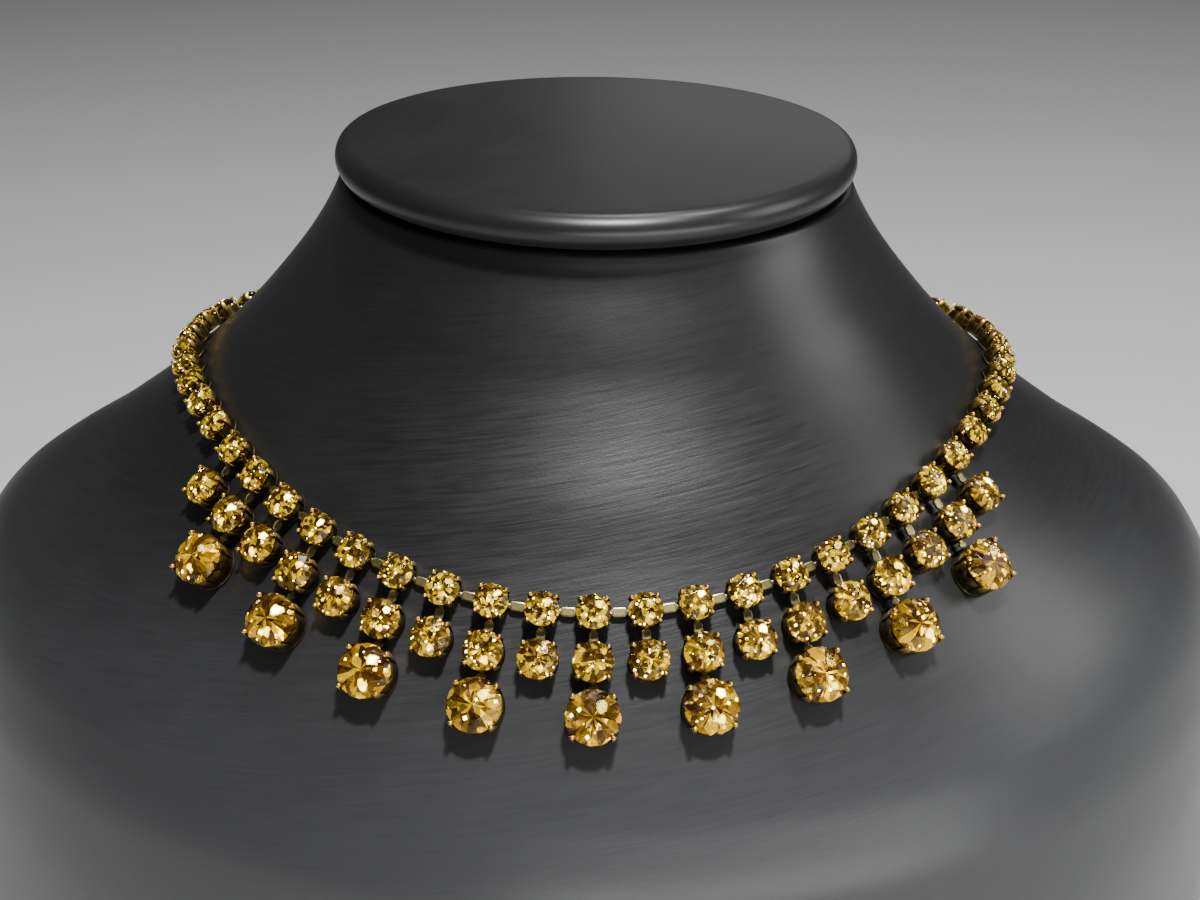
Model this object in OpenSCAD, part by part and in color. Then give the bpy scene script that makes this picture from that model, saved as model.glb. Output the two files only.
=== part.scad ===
// Three-row stone necklace on an oval-topped neck bust, in millimetres.
// The origin is the middle of the bust's flat base, Z is up and the front faces -Y.

/* [Chain] */
// Distance between neighbouring settings of the main row, at the links
row_pitch = 7.85; // [7.7:0.05:7.95]
// Settings of the main row on each side of the front one
side_settings = 26; // [24:1:26]
// Height of the front setting of the main row above the base
row_height = 118; // [114:1:122]
// How far the main row climbs from the front to the side of the neck
row_rise = 32.5; // [26:0.5:34]
// How much the climb flattens near the side of the neck
rise_easing = 14.5; // [8:0.5:16]
// How far the main row sinks again from the side to the nape
nape_sink = 5; // [0:1:8]

/* [Drops] */
// Drops of the middle row on each side of the front one
side_drops = 9; // [5:2:9]
// Distance from a main setting to the middle drop below it
mid_drop = 7.75; // [7.6:0.05:8.2]
// Distance from a middle drop to the large drop below it
large_drop = 8.35; // [8.3:0.05:9]
// How strongly the side drops turn towards plumb, degrees per mm of drop
plumb_turn = 0.2; // [0:0.05:0.3]

/* [Stones] */
// Diameter of a stone of the main row
main_stone_d = 5.5; // [5.2:0.1:5.6]
// Diameter of a stone of the middle row
mid_stone_d = 6.4; // [6:0.1:6.5]
// Diameter of a stone of the large drops
large_stone_d = 8.6; // [8:0.1:8.8]
// Depth of the stone below its edge, as a share of its diameter
pavilion_share = 0.42; // [0.38:0.01:0.44]
// Height of the stone above its edge, as a share of its diameter
crown_share = 0.17; // [0.15:0.01:0.2]
// Width of the flat table, as a share of the stone's diameter
table_share = 0.56; // [0.5:0.01:0.6]

/* [Metal] */
// Gap between the bust's surface and what lies on it
lift = 0.3; // [0.25:0.05:0.4]
// Thickness of a setting's wall and floor
cup_wall = 0.4; // [0.35:0.05:0.45]
// Gap between a stone and the metal round it
stone_gap = 0.13; // [0.12:0.01:0.15]
// Thickness of a link
link_t = 0.4; // [0.35:0.05:0.4]
// Width of the part of a link that shows between two settings
link_w = 1.45; // [1.3:0.05:1.6]
// Length of the clasp's body
clasp_length = 15; // [12:1:16]
// Width of the clasp's body
clasp_width = 4.6; // [4:0.2:5]

/* [Bust] */
// Slant of the neck's top, front down
top_slant = 4; // [2:0.5:6]
// How far the cap stands out past the neck's top
cap_overhang = 0.6; // [0.4:0.2:1.6]
// How much further it stands out at the front
cap_nose = 3.6; // [2:0.2:4]
// Thickness of the cap, rounded all round its edge
cap_t = 6; // [5:0.5:7]
// Height of the dark groove under the cap
groove_h = 1.3; // [1:0.1:1.6]

/* [Hidden] */
$fn = 32;
// Sections of the bust from the base up
// Columns: height, half width, depth in front of the neck's axis, depth behind it, swell of the shoulder
SECTIONS = [
    [0,     112,   88,   55,   15],
    [30,    117.5, 96,   59,   11.5],
    [62,    119,   99,   61,   7],
    [78,    118.2, 97.5, 60,   6.5],
    [90,    115.8, 92.8, 58.4, 6.5],
    [98,    112.8, 88,   56.8, 6.6],
    [106,   108,   82.5, 54.9, 6.6],
    [112,   102.8, 78,   53.3, 6.2],
    [118,   96.4,  73.4, 51.7, 4.2],
    [124,   89.2,  68.8, 50.2, 1],
    [131,   80.2,  63.9, 48.6, 0],
    [142,   67,    55.8, 46.4, 0],
    [150,   59.4,  50.6, 44.9, 0],
    [160,   51.4,  45.9, 42.8, 0],
    [166,   47.8,  43.4, 41,   0],
    [169.5, 46.2,  42.4, 40.2, 0]
];
WIDE = 1;
FRONT = 2;
BACK = 3;
SWELL = 4;
// The swell stands out at the sides alone; a higher power keeps it nearer to them
swell_power = 8;
LAST = len(SECTIONS) - 1;
neck_top = SECTIONS[LAST][0];
// The neck's axis lies behind the origin, so that the base is centred on it
axis_y = (max([for (s = SECTIONS) s[FRONT]]) - max([for (s = SECTIONS) s[BACK]])) / 2;
// The slant of the neck's top fades in over this height
slant_start = 150;
bust_sides = 60;
// Steps between two rows of the table, from the first to the last of the finer rows
rings_between = 2;
fine_rows = [3, 12];
// Width of the small bevel round the neck's top edge and the base's edge
bevel = 0.8;

// Gap between a setting's floor and the links in it
link_clear = 0.3;
// Height of a link's middle above the surface, where pitches are measured
link_h = lift + cup_wall + link_clear + link_t / 2;
// Part of a link inside a setting: radius and place of its head, width of its neck
head_r = 0.62;
head_inset = 0.65;
neck_w = 0.7;
// Slot that a link's neck passes through: its width, how far it is cut into the floor, its height
slot_w = 1;
slot_sunk = 0.1;
slot_h = link_t + 0.8;
// Gap between a setting's wall and the wide part of a link
body_gap = 0.15;
// How far the wall's outside stays within the stone's edge
wall_under = 0.15;
// Gap between the floor and the stone's point
tip_gap = 0.15;
girdle_share = 0.03;
// Turn of each stone in its setting, against its neighbour's
stone_turn = 17;
prong_t = 0.32;
// How far a prong's foot stands out from the wall
foot_out = 0.1;
// The clasp's thickness, the bevel of its corners and how far each tongue runs into it
clasp_t = 2.2;
clasp_corner = 1.2;
tongue_sunk = 1;
all_drops = 2 * side_drops + 1;
side_large = floor(side_drops / 2);
all_large = 2 * side_large + 1;

// Numbers from 1 are counted from the left end of each row
function mid_stone_name(k) = str("mid_stone_", k);
function large_stone_name(k) = str("large_stone_", k);
function large_cup_name(k) = str("large_cup_", k);

// Vectors
function unit(v) = v / norm(v);
function flat_to(v, n) = unit(v - (v * n) * n);

// Smooth change of one column of the table with height, with no overshoot between its rows
function row_of(z, i = 0) = i >= LAST - 1 || z < SECTIONS[i + 1][0] ? i : row_of(z, i + 1);
function rate(col, i) =
    (SECTIONS[i + 1][col] - SECTIONS[i][col]) / (SECTIONS[i + 1][0] - SECTIONS[i][0]);
function mean_rate(a, b) = a * b <= 0 ? 0 : 2 * a * b / (a + b);
function slope_at_row(col, i) =
    i == 0 ? rate(col, 0) : i == LAST ? rate(col, LAST - 1) : mean_rate(rate(col, i - 1), rate(col, i));
function size_at(col, z) =
    let (
        i = row_of(z),
        a = SECTIONS[i],
        b = SECTIONS[i + 1],
        h = b[0] - a[0],
        u = (z - a[0]) / h,
        w = 1 - u
    )
    a[col] * (1 + 2 * u) * w * w + b[col] * u * u * (3 - 2 * u)
    + h * (slope_at_row(col, i) * u * w * w - slope_at_row(col, i + 1) * u * u * w);

// A point of the bust's skin: t turns round the neck from the front, positive to +X, z is the height
function slant_at(z) =
    let (u = max(0, min(1, (z - slant_start) / (neck_top - slant_start))))
    tan(top_slant) * u * u * (3 - 2 * u);
function on_bust(t, z, inset = 0) =
    let (
        c = cos(t),
        y = -c * (size_at(c >= 0 ? FRONT : BACK, z) - inset),
        swell = size_at(SWELL, z) * pow(abs(sin(t)), swell_power),
        x = (size_at(WIDE, z) + swell - inset) * sin(t)
    )
    [x, axis_y + y, z + slant_at(z) * y];
function skin_normal(t, z) =
    unit(cross(on_bust(t + 0.05, z) - on_bust(t - 0.05, z), on_bust(t, z + 0.05) - on_bust(t, z - 0.05)));
// A point that is a given height off the skin
function off_bust(t, z, h) = on_bust(t, z) + h * skin_normal(t, z);

// The main row's line round the neck
function row_z(t) =
    let (
        s = sin(t) * sin(t),
        c = cos(t) * cos(t),
        climb = abs(t) <= 90 ? row_rise * s - rise_easing * s * s : row_rise - rise_easing - nape_sink * c
    )
    row_height + climb;
function row_point(t) = off_bust(t, row_z(t), link_h);

// The next setting's angle, one pitch further along the row, found by halving the search
function next_t(from, a, b, steps = 20) =
    let (m = (a + b) / 2)
    steps == 0 ? m
        : norm(row_point(m) - from) > row_pitch ? next_t(from, a, m, steps - 1)
        : next_t(from, m, b, steps - 1);
function row_angles(n, t = 0) =
    n == 0 ? [t] : concat([t], row_angles(n - 1, next_t(row_point(t), t + 2, t + 14)));
half_row = row_angles(side_settings);
function row_t(i) = sign(i) * half_row[abs(i)];

// A drop hangs from [t, z] at a given distance, a little nearer to plumb than the neck's own lines
function drop_t(t, length) = t - sign(t) * plumb_turn * length * sin(2 * abs(t)) * sin(t) * sin(t);
function drop_z(from, t, length, low, high, steps = 20) =
    let (m = (low + high) / 2)
    steps == 0 ? m
        : norm(off_bust(t, m, link_h) - from) > length ? drop_z(from, t, length, m, high, steps - 1)
        : drop_z(from, t, length, low, m, steps - 1);
function drop_from(seat, length) =
    let (t = drop_t(seat[0], length), from = off_bust(seat[0], seat[1], link_h))
    [t, drop_z(from, t, length, seat[1] - 1.2 * length, seat[1] - 0.2 * length)];

// Seats of the three rows as [t, z], with i = 0 at the front
function main_seat(i) = [row_t(i), row_z(row_t(i))];
mid_seats = [for (i = [-side_drops:side_drops]) drop_from(main_seat(i), mid_drop)];
function mid_seat(i) = mid_seats[i + side_drops];
large_seats = [for (k = [-side_large:side_large]) drop_from(mid_seat(2 * k), large_drop)];
function large_seat(k) = large_seats[k + side_large];
function link_point(seat) = off_bust(seat[0], seat[1], link_h);

// The clasp lies at the nape, where +X of the bust runs from one end of the row to the other
clasp_seat = [180, row_z(180)];
clasp_up = skin_normal(clasp_seat[0], clasp_seat[1]);
clasp_foot = off_bust(clasp_seat[0], clasp_seat[1], lift);
// Inner end of its tongue on one side, below the middle of its thickness
function tongue_end(side) =
    clasp_foot + side * [clasp_length / 2 - tongue_sunk, 0, 0] + 0.4 * clasp_t * clasp_up;

// Directions in which links leave a setting
function way(a, b) = link_point(b) - link_point(a);
function row_way(i, side) =
    side * i < side_settings ? way(main_seat(i), main_seat(i + side))
        : tongue_end(side) - link_point(main_seat(i));
function main_ways(i) = concat(
    [row_way(i, 1), row_way(i, -1)],
    abs(i) <= side_drops ? [way(main_seat(i), mid_seat(i))] : []
);
function mid_ways(i) = concat(
    [way(mid_seat(i), main_seat(i))],
    i % 2 == 0 ? [way(mid_seat(i), large_seat(i / 2))] : []
);
function large_ways(k) = [way(large_seat(k), mid_seat(2 * k))];

// Which way each setting's Y points: across the row, or up along the drop's link
function main_up(i) =
    let (t = row_t(i), n = skin_normal(t, row_z(t)))
    cross(n, row_point(t + 0.5) - row_point(t - 0.5));
function mid_up(i) = mid_ways(i)[0];
function large_up(k) = large_ways(k)[0];

// Puts children on the skin with Z along its normal and Y along a given direction
module seated(seat, up) {
    n = skin_normal(seat[0], seat[1]);
    y = flat_to(up, n);
    x = cross(y, n);
    p = off_bust(seat[0], seat[1], lift);
    multmatrix([
        [x[0], y[0], n[0], p[0]],
        [x[1], y[1], n[1], p[1]],
        [x[2], y[2], n[2], p[2]],
        [0, 0, 0, 1]
    ])
        children();
}

// Angle of a direction in a setting's own plane, from its X
function way_angle(seat, up, v) =
    let (n = skin_normal(seat[0], seat[1]), y = flat_to(up, n), x = cross(y, n))
    atan2(v * y, v * x);

// Heights in a setting, above its underside
culet_z = cup_wall + tip_gap;
function edge_z(d) = culet_z + pavilion_share * d;
function wall_in(d) = d / 2 - wall_under - cup_wall;
function wall_top(d) = culet_z + pavilion_share * 2 * wall_in(d) - 1.4 * stone_gap;

// One prong: it leans out past the stone's edge, rises beside it and ends in a bead over the crown
module prong(d) {
    width = 0.12 * d + 0.2;
    root = wall_in(d) + cup_wall / 2;
    foot = wall_in(d) + cup_wall + foot_out;
    foot_z = 2 * cup_wall;
    shelf_z = wall_top(d) - 0.1;
    inner = d / 2 + stone_gap;
    outer = inner + prong_t;
    bead_r = 0.22 + 0.025 * d;
    bead_z = edge_z(d) + girdle_share * d + bead_r * 1.5;
    rotate([90, 0, 0])
        translate([0, 0, -width / 2])
            linear_extrude(width)
                polygon([
                    [root, foot_z],
                    [foot, foot_z],
                    [outer, wall_top(d)],
                    [outer, bead_z],
                    [inner, bead_z],
                    [inner, shelf_z],
                    [root, shelf_z]
                ]);
    translate([inner, 0, bead_z])
        sphere(bead_r);
}

// Stamped setting with a slot for each link and a notch in its rim between each two prongs
module cup(d, slots) {
    outer = wall_in(d) + cup_wall;
    notch = 0.18 * d;
    difference() {
        cylinder(r = outer, h = wall_top(d));
        translate([0, 0, cup_wall])
            cylinder(r = wall_in(d), h = wall_top(d));
        for (a = slots)
            rotate(a)
                translate([outer / 2, -slot_w / 2, cup_wall - slot_sunk])
                    cube([outer, slot_w, slot_h]);
        for (a = [0, 90])
            rotate(a)
                translate([0, 0, wall_top(d) + 0.1])
                    rotate([45, 0, 0])
                        cube([2 * outer + 1, notch, notch], center = true);
    }
    for (k = [0:3])
        rotate(45 + 90 * k)
            prong(d);
}

// Brilliant-cut stone: table, 8 stars, 8 bezels, 16 upper and 16 lower halves, 8 mains
function ring_points(r, z, n, turn = 0) =
    [for (k = [0:n - 1]) [r * cos(360 / n * k + turn), r * sin(360 / n * k + turn), z]];
module stone(d) {
    r = d / 2;
    table_r = table_share * r;
    edge = edge_z(d);
    edge_top = edge + girdle_share * d;
    top = edge_top + crown_share * d;
    // The middle ring lies in the plane of each bezel, from the table's corner to the edge
    star_r = 0.5 * (table_r + r);
    star_x = star_r * cos(22.5);
    star_z = top + (edge_top - top) * (star_x - table_r) / (r - table_r);
    low_r = 0.42 * r;
    low_z = culet_z + (edge - culet_z) * low_r * cos(22.5) / r;
    points = concat(
        ring_points(table_r, top, 8),
        ring_points(star_r, star_z, 8, 22.5),
        ring_points(r, edge_top, 16),
        ring_points(r, edge, 16),
        ring_points(low_r, low_z, 8, 22.5),
        [[0, 0, culet_z]]
    );
    star = 8;
    rim = 16;
    low_rim = 32;
    low = 48;
    tip = 56;
    faces = concat(
        [[for (k = [7:-1:0]) k]],
        [for (k = [0:7]) [k, (k + 1) % 8, star + k]],
        [for (k = [0:7]) [k, star + k, rim + 2 * k, star + (k + 7) % 8]],
        [for (k = [0:7]) [star + k, rim + 2 * k + 1, rim + 2 * k]],
        [for (k = [0:7]) [star + k, rim + (2 * k + 2) % 16, rim + 2 * k + 1]],
        [for (j = [0:15]) [rim + j, rim + (j + 1) % 16, low_rim + (j + 1) % 16, low_rim + j]],
        [for (k = [0:7]) [low + k, low_rim + 2 * k, low_rim + 2 * k + 1]],
        [for (k = [0:7]) [low + k, low_rim + 2 * k + 1, low_rim + (2 * k + 2) % 16]],
        [for (k = [0:7]) [tip, low + (k + 7) % 8, low_rim + 2 * k, low + k]]
    );
    polyhedron(points, faces);
}

// Puts children with X running from one point to another and Z near a given normal
module laid(from, to, normal) {
    x = unit(to - from);
    n = flat_to(normal, x);
    y = cross(n, x);
    multmatrix([
        [x[0], y[0], n[0], from[0]],
        [x[1], y[1], n[1], from[1]],
        [x[2], y[2], n[2], from[2]],
        [0, 0, 0, 1]
    ])
        children();
}

// Outlines of a link along X: its head and neck at a setting, and the wide body between settings
function head_x(d) = wall_in(d) - head_inset;
function body_x(d) = wall_in(d) + cup_wall + body_gap;
module link_body(from, to) {
    corner = 0.3;
    half = link_w / 2;
    polygon([
        [from, -half + corner],
        [from + corner, -half],
        [to - corner, -half],
        [to, -half + corner],
        [to, half - corner],
        [to - corner, half],
        [from + corner, half],
        [from, half - corner]
    ]);
}
module link_head(x, far_x) {
    translate([x, 0])
        circle(head_r);
    translate([min(x, far_x), -neck_w / 2])
        square([abs(far_x - x), neck_w]);
}

// Flat link between two settings: a wide body, and at each end a neck and a head behind the wall
module link(a, b, d_a, d_b) {
    length = norm(link_point(b) - link_point(a));
    laid(link_point(a), link_point(b), skin_normal(a[0], a[1]) + skin_normal(b[0], b[1]))
        translate([0, 0, -link_t / 2])
            linear_extrude(link_t)
                union() {
                    link_head(head_x(d_a), length / 2);
                    link_head(length - head_x(d_b), length / 2);
                    link_body(body_x(d_a), length - body_x(d_b));
                }
}

function loft_faces(n, rings) = concat(
    [[for (k = [0:n - 1]) k]],
    [for (r = [0:rings - 2], k = [0:n - 1])
        [r * n + k, (r + 1) * n + k, (r + 1) * n + (k + 1) % n, r * n + (k + 1) % n]],
    [[for (k = [n - 1:-1:0]) (rings - 1) * n + k]]
);
// Heights of the bust's rings: every row of the table and some between, kept clear of the bevels
ring_heights = concat(
    [bevel],
    [for (i = [0:LAST - 1], j = [0:(i >= fine_rows[0] && i <= fine_rows[1] ? rings_between - 1 : 0)])
        if (i + j > 0) SECTIONS[i][0] + (SECTIONS[i + 1][0] - SECTIONS[i][0]) * j / rings_between],
    [neck_top - bevel]
);

module bust_body() {
    sides = [for (k = [0:bust_sides - 1]) 360 / bust_sides * k];
    points = concat(
        [for (t = sides) on_bust(t, 0, bevel)],
        [for (z = ring_heights, t = sides) on_bust(t, z)],
        [for (t = sides) on_bust(t, neck_top, bevel)]
    );
    color("#2b2c2f")
        polyhedron(points, loft_faces(bust_sides, len(ring_heights) + 2));
}

// The cap is a flat oval with a round edge on a slightly smaller plinth, square to the neck's top
module bust_cap() {
    sides = [for (k = [0:bust_sides - 1]) 360 / bust_sides * k];
    edge_r = cap_t / 2;
    plinth_inset = 4;
    crown_rise = 0.8;
    edge_steps = 6;
    foot = 0.02;
    top = SECTIONS[LAST];
    // Columns: how far the ring stands in from the cap's outline, its height above the neck's top, nose
    rings = concat(
        [[plinth_inset + cap_overhang, foot, 0], [plinth_inset + cap_overhang, groove_h, 0]],
        [for (k = [0:edge_steps])
            let (a = -90 + 180 / edge_steps * k)
            [edge_r - edge_r * cos(a), groove_h + edge_r + edge_r * sin(a), cap_nose]],
        [for (u = [0.4, 0.85])
            let (rise = crown_rise * (1 - (1 - u) * (1 - u)))
            [edge_r + u * (top[FRONT] - edge_r), groove_h + cap_t + rise, cap_nose]]
    );
    slope = tan(top_slant);
    points = [for (r = rings, t = sides)
        let (
            x = (top[WIDE] + cap_overhang - r[0]) * sin(t),
            deep = cos(t) >= 0 ? top[FRONT] + r[2] : top[BACK],
            y = -cos(t) * (deep + cap_overhang - r[0])
        )
        [x, axis_y + y, neck_top + slope * y + r[1]]];
    color("#2e2f32")
        polyhedron(points, loft_faces(bust_sides, len(rings)));
}

module main_cups() {
    color("#8d7a45")
        for (i = [-side_settings:side_settings])
            seated(main_seat(i), main_up(i))
                cup(main_stone_d, [for (w = main_ways(i)) way_angle(main_seat(i), main_up(i), w)]);
}

module main_stones() {
    color("#e8b23a")
        for (i = [-side_settings:side_settings])
            seated(main_seat(i), main_up(i))
                rotate(stone_turn * i)
                    stone(main_stone_d);
}

module main_links() {
    color("#b8a468")
        for (i = [-side_settings:side_settings - 1])
            link(main_seat(i), main_seat(i + 1), main_stone_d, main_stone_d);
}

module mid_cups() {
    color("#8d7a45")
        for (i = [-side_drops:side_drops])
            seated(mid_seat(i), mid_up(i))
                cup(mid_stone_d, [for (w = mid_ways(i)) way_angle(mid_seat(i), mid_up(i), w)]);
}

module mid_stone(k) {
    i = k - 1 - side_drops;
    color("#e5aa35")
        seated(mid_seat(i), mid_up(i))
            rotate(stone_turn * k)
                stone(mid_stone_d);
}

module large_stone(k) {
    i = k - 1 - side_large;
    color("#dd9a2c")
        seated(large_seat(i), large_up(i))
            rotate(stone_turn * k)
                stone(large_stone_d);
}

module large_cup(k) {
    i = k - 1 - side_large;
    color("#8d7a45")
        seated(large_seat(i), large_up(i))
            cup(large_stone_d, [90]);
}

module mid_drop_links() {
    color("#b8a468")
        for (i = [-side_drops:side_drops])
            link(main_seat(i), mid_seat(i), main_stone_d, mid_stone_d);
}

module large_drop_links() {
    color("#b8a468")
        for (k = [-side_large:side_large])
            link(mid_seat(2 * k), large_seat(k), mid_stone_d, large_stone_d);
}

// Plain box clasp at the nape, with a tongue at each end that holds the last setting as a link does
module clasp() {
    half = clasp_length / 2;
    wide = clasp_width / 2;
    color("#9c8a50") {
        laid(clasp_foot, clasp_foot + [1, 0, 0], clasp_up)
            linear_extrude(clasp_t)
                polygon([
                    [-half, clasp_corner - wide], [clasp_corner - half, -wide],
                    [half - clasp_corner, -wide], [half, clasp_corner - wide],
                    [half, wide - clasp_corner], [half - clasp_corner, wide],
                    [clasp_corner - half, wide], [-half, wide - clasp_corner]
                ]);
        for (side = [-1, 1]) {
            end_seat = main_seat(side * side_settings);
            from = link_point(end_seat);
            length = norm(tongue_end(side) - from);
            laid(from, tongue_end(side), clasp_up + skin_normal(end_seat[0], end_seat[1]))
                translate([0, 0, -link_t / 2])
                    linear_extrude(link_t)
                        union() {
                            link_head(head_x(main_stone_d), length);
                            link_body(body_x(main_stone_d), length);
                        }
        }
    }
}

bust_body();
bust_cap();
main_cups();
main_stones();
main_links();
clasp();
mid_cups();
mid_drop_links();
large_drop_links();
for (k = [1:all_drops])
    mid_stone(k);
for (k = [1:all_large])
    large_stone(k);
for (k = [1:all_large])
    large_cup(k);
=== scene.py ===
# Rhinestone necklace on a neck bust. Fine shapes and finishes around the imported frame.
import math

import bmesh
import bpy
import numpy as np
from mathutils import Matrix, Vector


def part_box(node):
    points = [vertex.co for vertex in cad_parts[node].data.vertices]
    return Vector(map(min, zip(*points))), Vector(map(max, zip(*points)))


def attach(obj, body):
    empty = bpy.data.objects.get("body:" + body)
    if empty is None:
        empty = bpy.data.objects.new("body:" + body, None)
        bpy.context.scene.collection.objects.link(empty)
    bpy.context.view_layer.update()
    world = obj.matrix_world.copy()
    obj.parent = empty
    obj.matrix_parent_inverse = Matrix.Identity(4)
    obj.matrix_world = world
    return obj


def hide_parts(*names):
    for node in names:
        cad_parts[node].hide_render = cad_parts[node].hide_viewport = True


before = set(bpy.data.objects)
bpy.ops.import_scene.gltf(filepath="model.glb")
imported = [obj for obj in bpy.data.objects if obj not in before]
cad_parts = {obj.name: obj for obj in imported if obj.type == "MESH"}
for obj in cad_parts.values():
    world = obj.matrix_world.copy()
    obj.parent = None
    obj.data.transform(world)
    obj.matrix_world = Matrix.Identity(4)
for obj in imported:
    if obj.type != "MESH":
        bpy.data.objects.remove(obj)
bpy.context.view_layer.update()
print("frame loaded:", len(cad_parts), "nodes")

mm = 0.001


# Camera
view = {
    "focal": 52.5, "sensor": 36,    # mm
    "elevation": 22.76,             # degrees above the horizon
    "turn": -0.49,                  # degrees round the bust
    "roll": 0.69,
    "distance": 338.8,              # mm
    "target": (1.3, 19.0, 114.78),  # mm
}


def addCamera():
    e, a, roll = (math.radians(view[k]) for k in ("elevation", "turn", "roll"))
    back = Vector((math.sin(a) * math.cos(e), -math.cos(a) * math.cos(e), math.sin(e)))
    right = Vector((math.cos(a), math.sin(a), 0))
    up = back.cross(right)
    r = math.cos(roll) * right + math.sin(roll) * up
    u = math.cos(roll) * up - math.sin(roll) * right
    place = (Vector(view["target"]) + view["distance"] * back) * mm
    data = bpy.data.cameras.new("camera")
    data.lens = view["focal"]
    data.sensor_width = view["sensor"]
    data.clip_start = 0.01
    camera = bpy.data.objects.new("camera", data)
    camera.matrix_world = Matrix((
        (r.x, u.x, back.x, place.x),
        (r.y, u.y, back.y, place.y),
        (r.z, u.z, back.z, place.z),
        (0, 0, 0, 1),
    ))
    bpy.context.scene.collection.objects.link(camera)
    bpy.context.scene.camera = camera


addCamera()


# Shader helpers
class Wire:  # a socket that can stand in a sum
    def __init__(self, finish, socket):
        self.finish = finish
        self.socket = socket

    def sum(self, operation, a, b=0.0):
        return self.finish.add("ShaderNodeMath", {"operation": operation}, {0: a, 1: b}).out()

    def __add__(self, other):
        return self.sum("ADD", self, other)

    def __radd__(self, other):
        return self.sum("ADD", other, self)

    def __sub__(self, other):
        return self.sum("SUBTRACT", self, other)

    def __rsub__(self, other):
        return self.sum("SUBTRACT", other, self)

    def __mul__(self, other):
        return self.sum("MULTIPLY", self, other)

    def floor(self):
        return self.sum("FLOOR", self)

    def part(self):  # what follows the decimal point
        return self.sum("FRACT", self)

    def size(self):
        return self.sum("ABSOLUTE", self)

    def root(self):
        return self.sum("SQRT", self)

    def turnFrom(self, x):  # the angle of (x, self), -0.5 to 0.5 of a turn
        return self.sum("ARCTAN2", self, x) * (0.5 / math.pi)

    def between(self, low, high):  # 0 below low, 1 above high, smooth in between
        settings = {"interpolation_type": "SMOOTHSTEP"}
        links = {"Value": self, "From Min": low, "From Max": high}
        return self.finish.add("ShaderNodeMapRange", settings, links).out("Result")


class Placed:  # a node already in the tree
    def __init__(self, finish, node):
        self.finish = finish
        self.node = node

    def out(self, name=0):
        return Wire(self.finish, self.node.outputs[name])


class Finish:  # one material and its Principled shader
    def __init__(self, name, **sockets):
        self.material = bpy.data.materials.new(name)
        self.material.use_nodes = True
        self.tree = self.material.node_tree
        self.tree.nodes.clear()
        output = self.tree.nodes.new("ShaderNodeOutputMaterial")
        self.shader = self.tree.nodes.new("ShaderNodeBsdfPrincipled")
        self.tree.links.new(self.shader.outputs[0], output.inputs["Surface"])
        self.set(**sockets)

    def plug(self, socket, value):
        if isinstance(value, Wire):
            self.tree.links.new(value.socket, socket)
        elif isinstance(value, (tuple, list)) and len(value) == 3 and len(socket.default_value) == 4:
            socket.default_value = (*value, 1)
        else:
            socket.default_value = value

    def set(self, **sockets):  # baseColor=... stands for the socket Base Color
        for name, value in sockets.items():
            words = "".join(" " + c if c.isupper() else c for c in name).title().replace("Ior", "IOR")
            self.plug(self.shader.inputs[words], value)

    def add(self, kind, settings=None, links=None):
        node = self.tree.nodes.new(kind)
        for name, value in (settings or {}).items():
            if name == "stops":
                ramp = node.color_ramp
                while len(ramp.elements) < len(value):
                    ramp.elements.new(0.5)
                for element, (place, colour) in zip(ramp.elements, value):
                    element.position = place
                    element.color = (*colour, 1)
            else:
                setattr(node, name, value)
        for name, value in (links or {}).items():
            self.plug(node.inputs[name], value)
        return Placed(self, node)

    def read(self, name):  # a value stored on the mesh
        return self.add("ShaderNodeAttribute", {"attribute_name": name}).out("Vector")

    def parts(self, vector):
        split = self.add("ShaderNodeSeparateXYZ", links={0: vector})
        return split.out("X"), split.out("Y"), split.out("Z")

    def vector(self, x=0.0, y=0.0, z=0.0):
        return self.add("ShaderNodeCombineXYZ", links={"X": x, "Y": y, "Z": z}).out()

    def stretch(self, vector, by):
        return self.add("ShaderNodeVectorMath", {"operation": "MULTIPLY"}, {0: vector, 1: by}).out()

    def scaled(self, vector, by):
        return self.add("ShaderNodeVectorMath", {"operation": "SCALE"}, {0: vector, "Scale": by}).out()

    def joined(self, a, b):
        return self.add("ShaderNodeVectorMath", {"operation": "ADD"}, {0: a, 1: b}).out()

    def noise(self, vector, scale, detail=3.0, roughness=0.5):
        links = {"Vector": vector, "Scale": scale, "Detail": detail, "Roughness": roughness}
        return self.add("ShaderNodeTexNoise", links=links).out()

    def mix(self, factor, a, b):  # colours
        settings = {"data_type": "RGBA"}
        return self.add("ShaderNodeMix", settings, {0: factor, 6: a, 7: b}).out(2)

    def ramp(self, value, stops):
        return self.add("ShaderNodeValToRGB", {"stops": stops}, {0: value}).out("Color")

    def bump(self, height, strength, distance):
        links = {"Height": height, "Strength": strength, "Distance": distance}
        return self.add("ShaderNodeBump", links=links).out()


# Finishes
leather = {
    "dark": (0.0055, 0.0056, 0.0060),
    "light": (0.0100, 0.0101, 0.0106),
    "paintedLight": (0.033, 0.0335, 0.035),      # painted light: the lower chest made paler, as where light falls on it
    "paintedLightFrom": 0.132, "paintedLightTo": 0.085,   # heights in metres
    "roughness": 0.36,
    "brushing": 0.8,      # depth of the fine strokes
    "strokeSlope": 0.16,  # how far they rise to the right
    "strokes": (105, 105, 2600), "finerStrokes": (300, 300, 7500),
    # the strokes show at the front of the neck, and are faint elsewhere
    "strokesAcross": (0.0004, 0.0024),    # where they fade out: the squared way from the middle, in m2
    "strokesFoot": (0.098, 0.116), "strokesTop": (0.134, 0.156),
    "strokesFaint": 0.25, "strokesFull": 0.65,
    "clouds": 28.0, "pebbles": 2100.0,
    "grain": 0.2,         # depth of the pebbling
    "capRoughness": 0.34, "capBrushing": 0.1,
}


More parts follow.
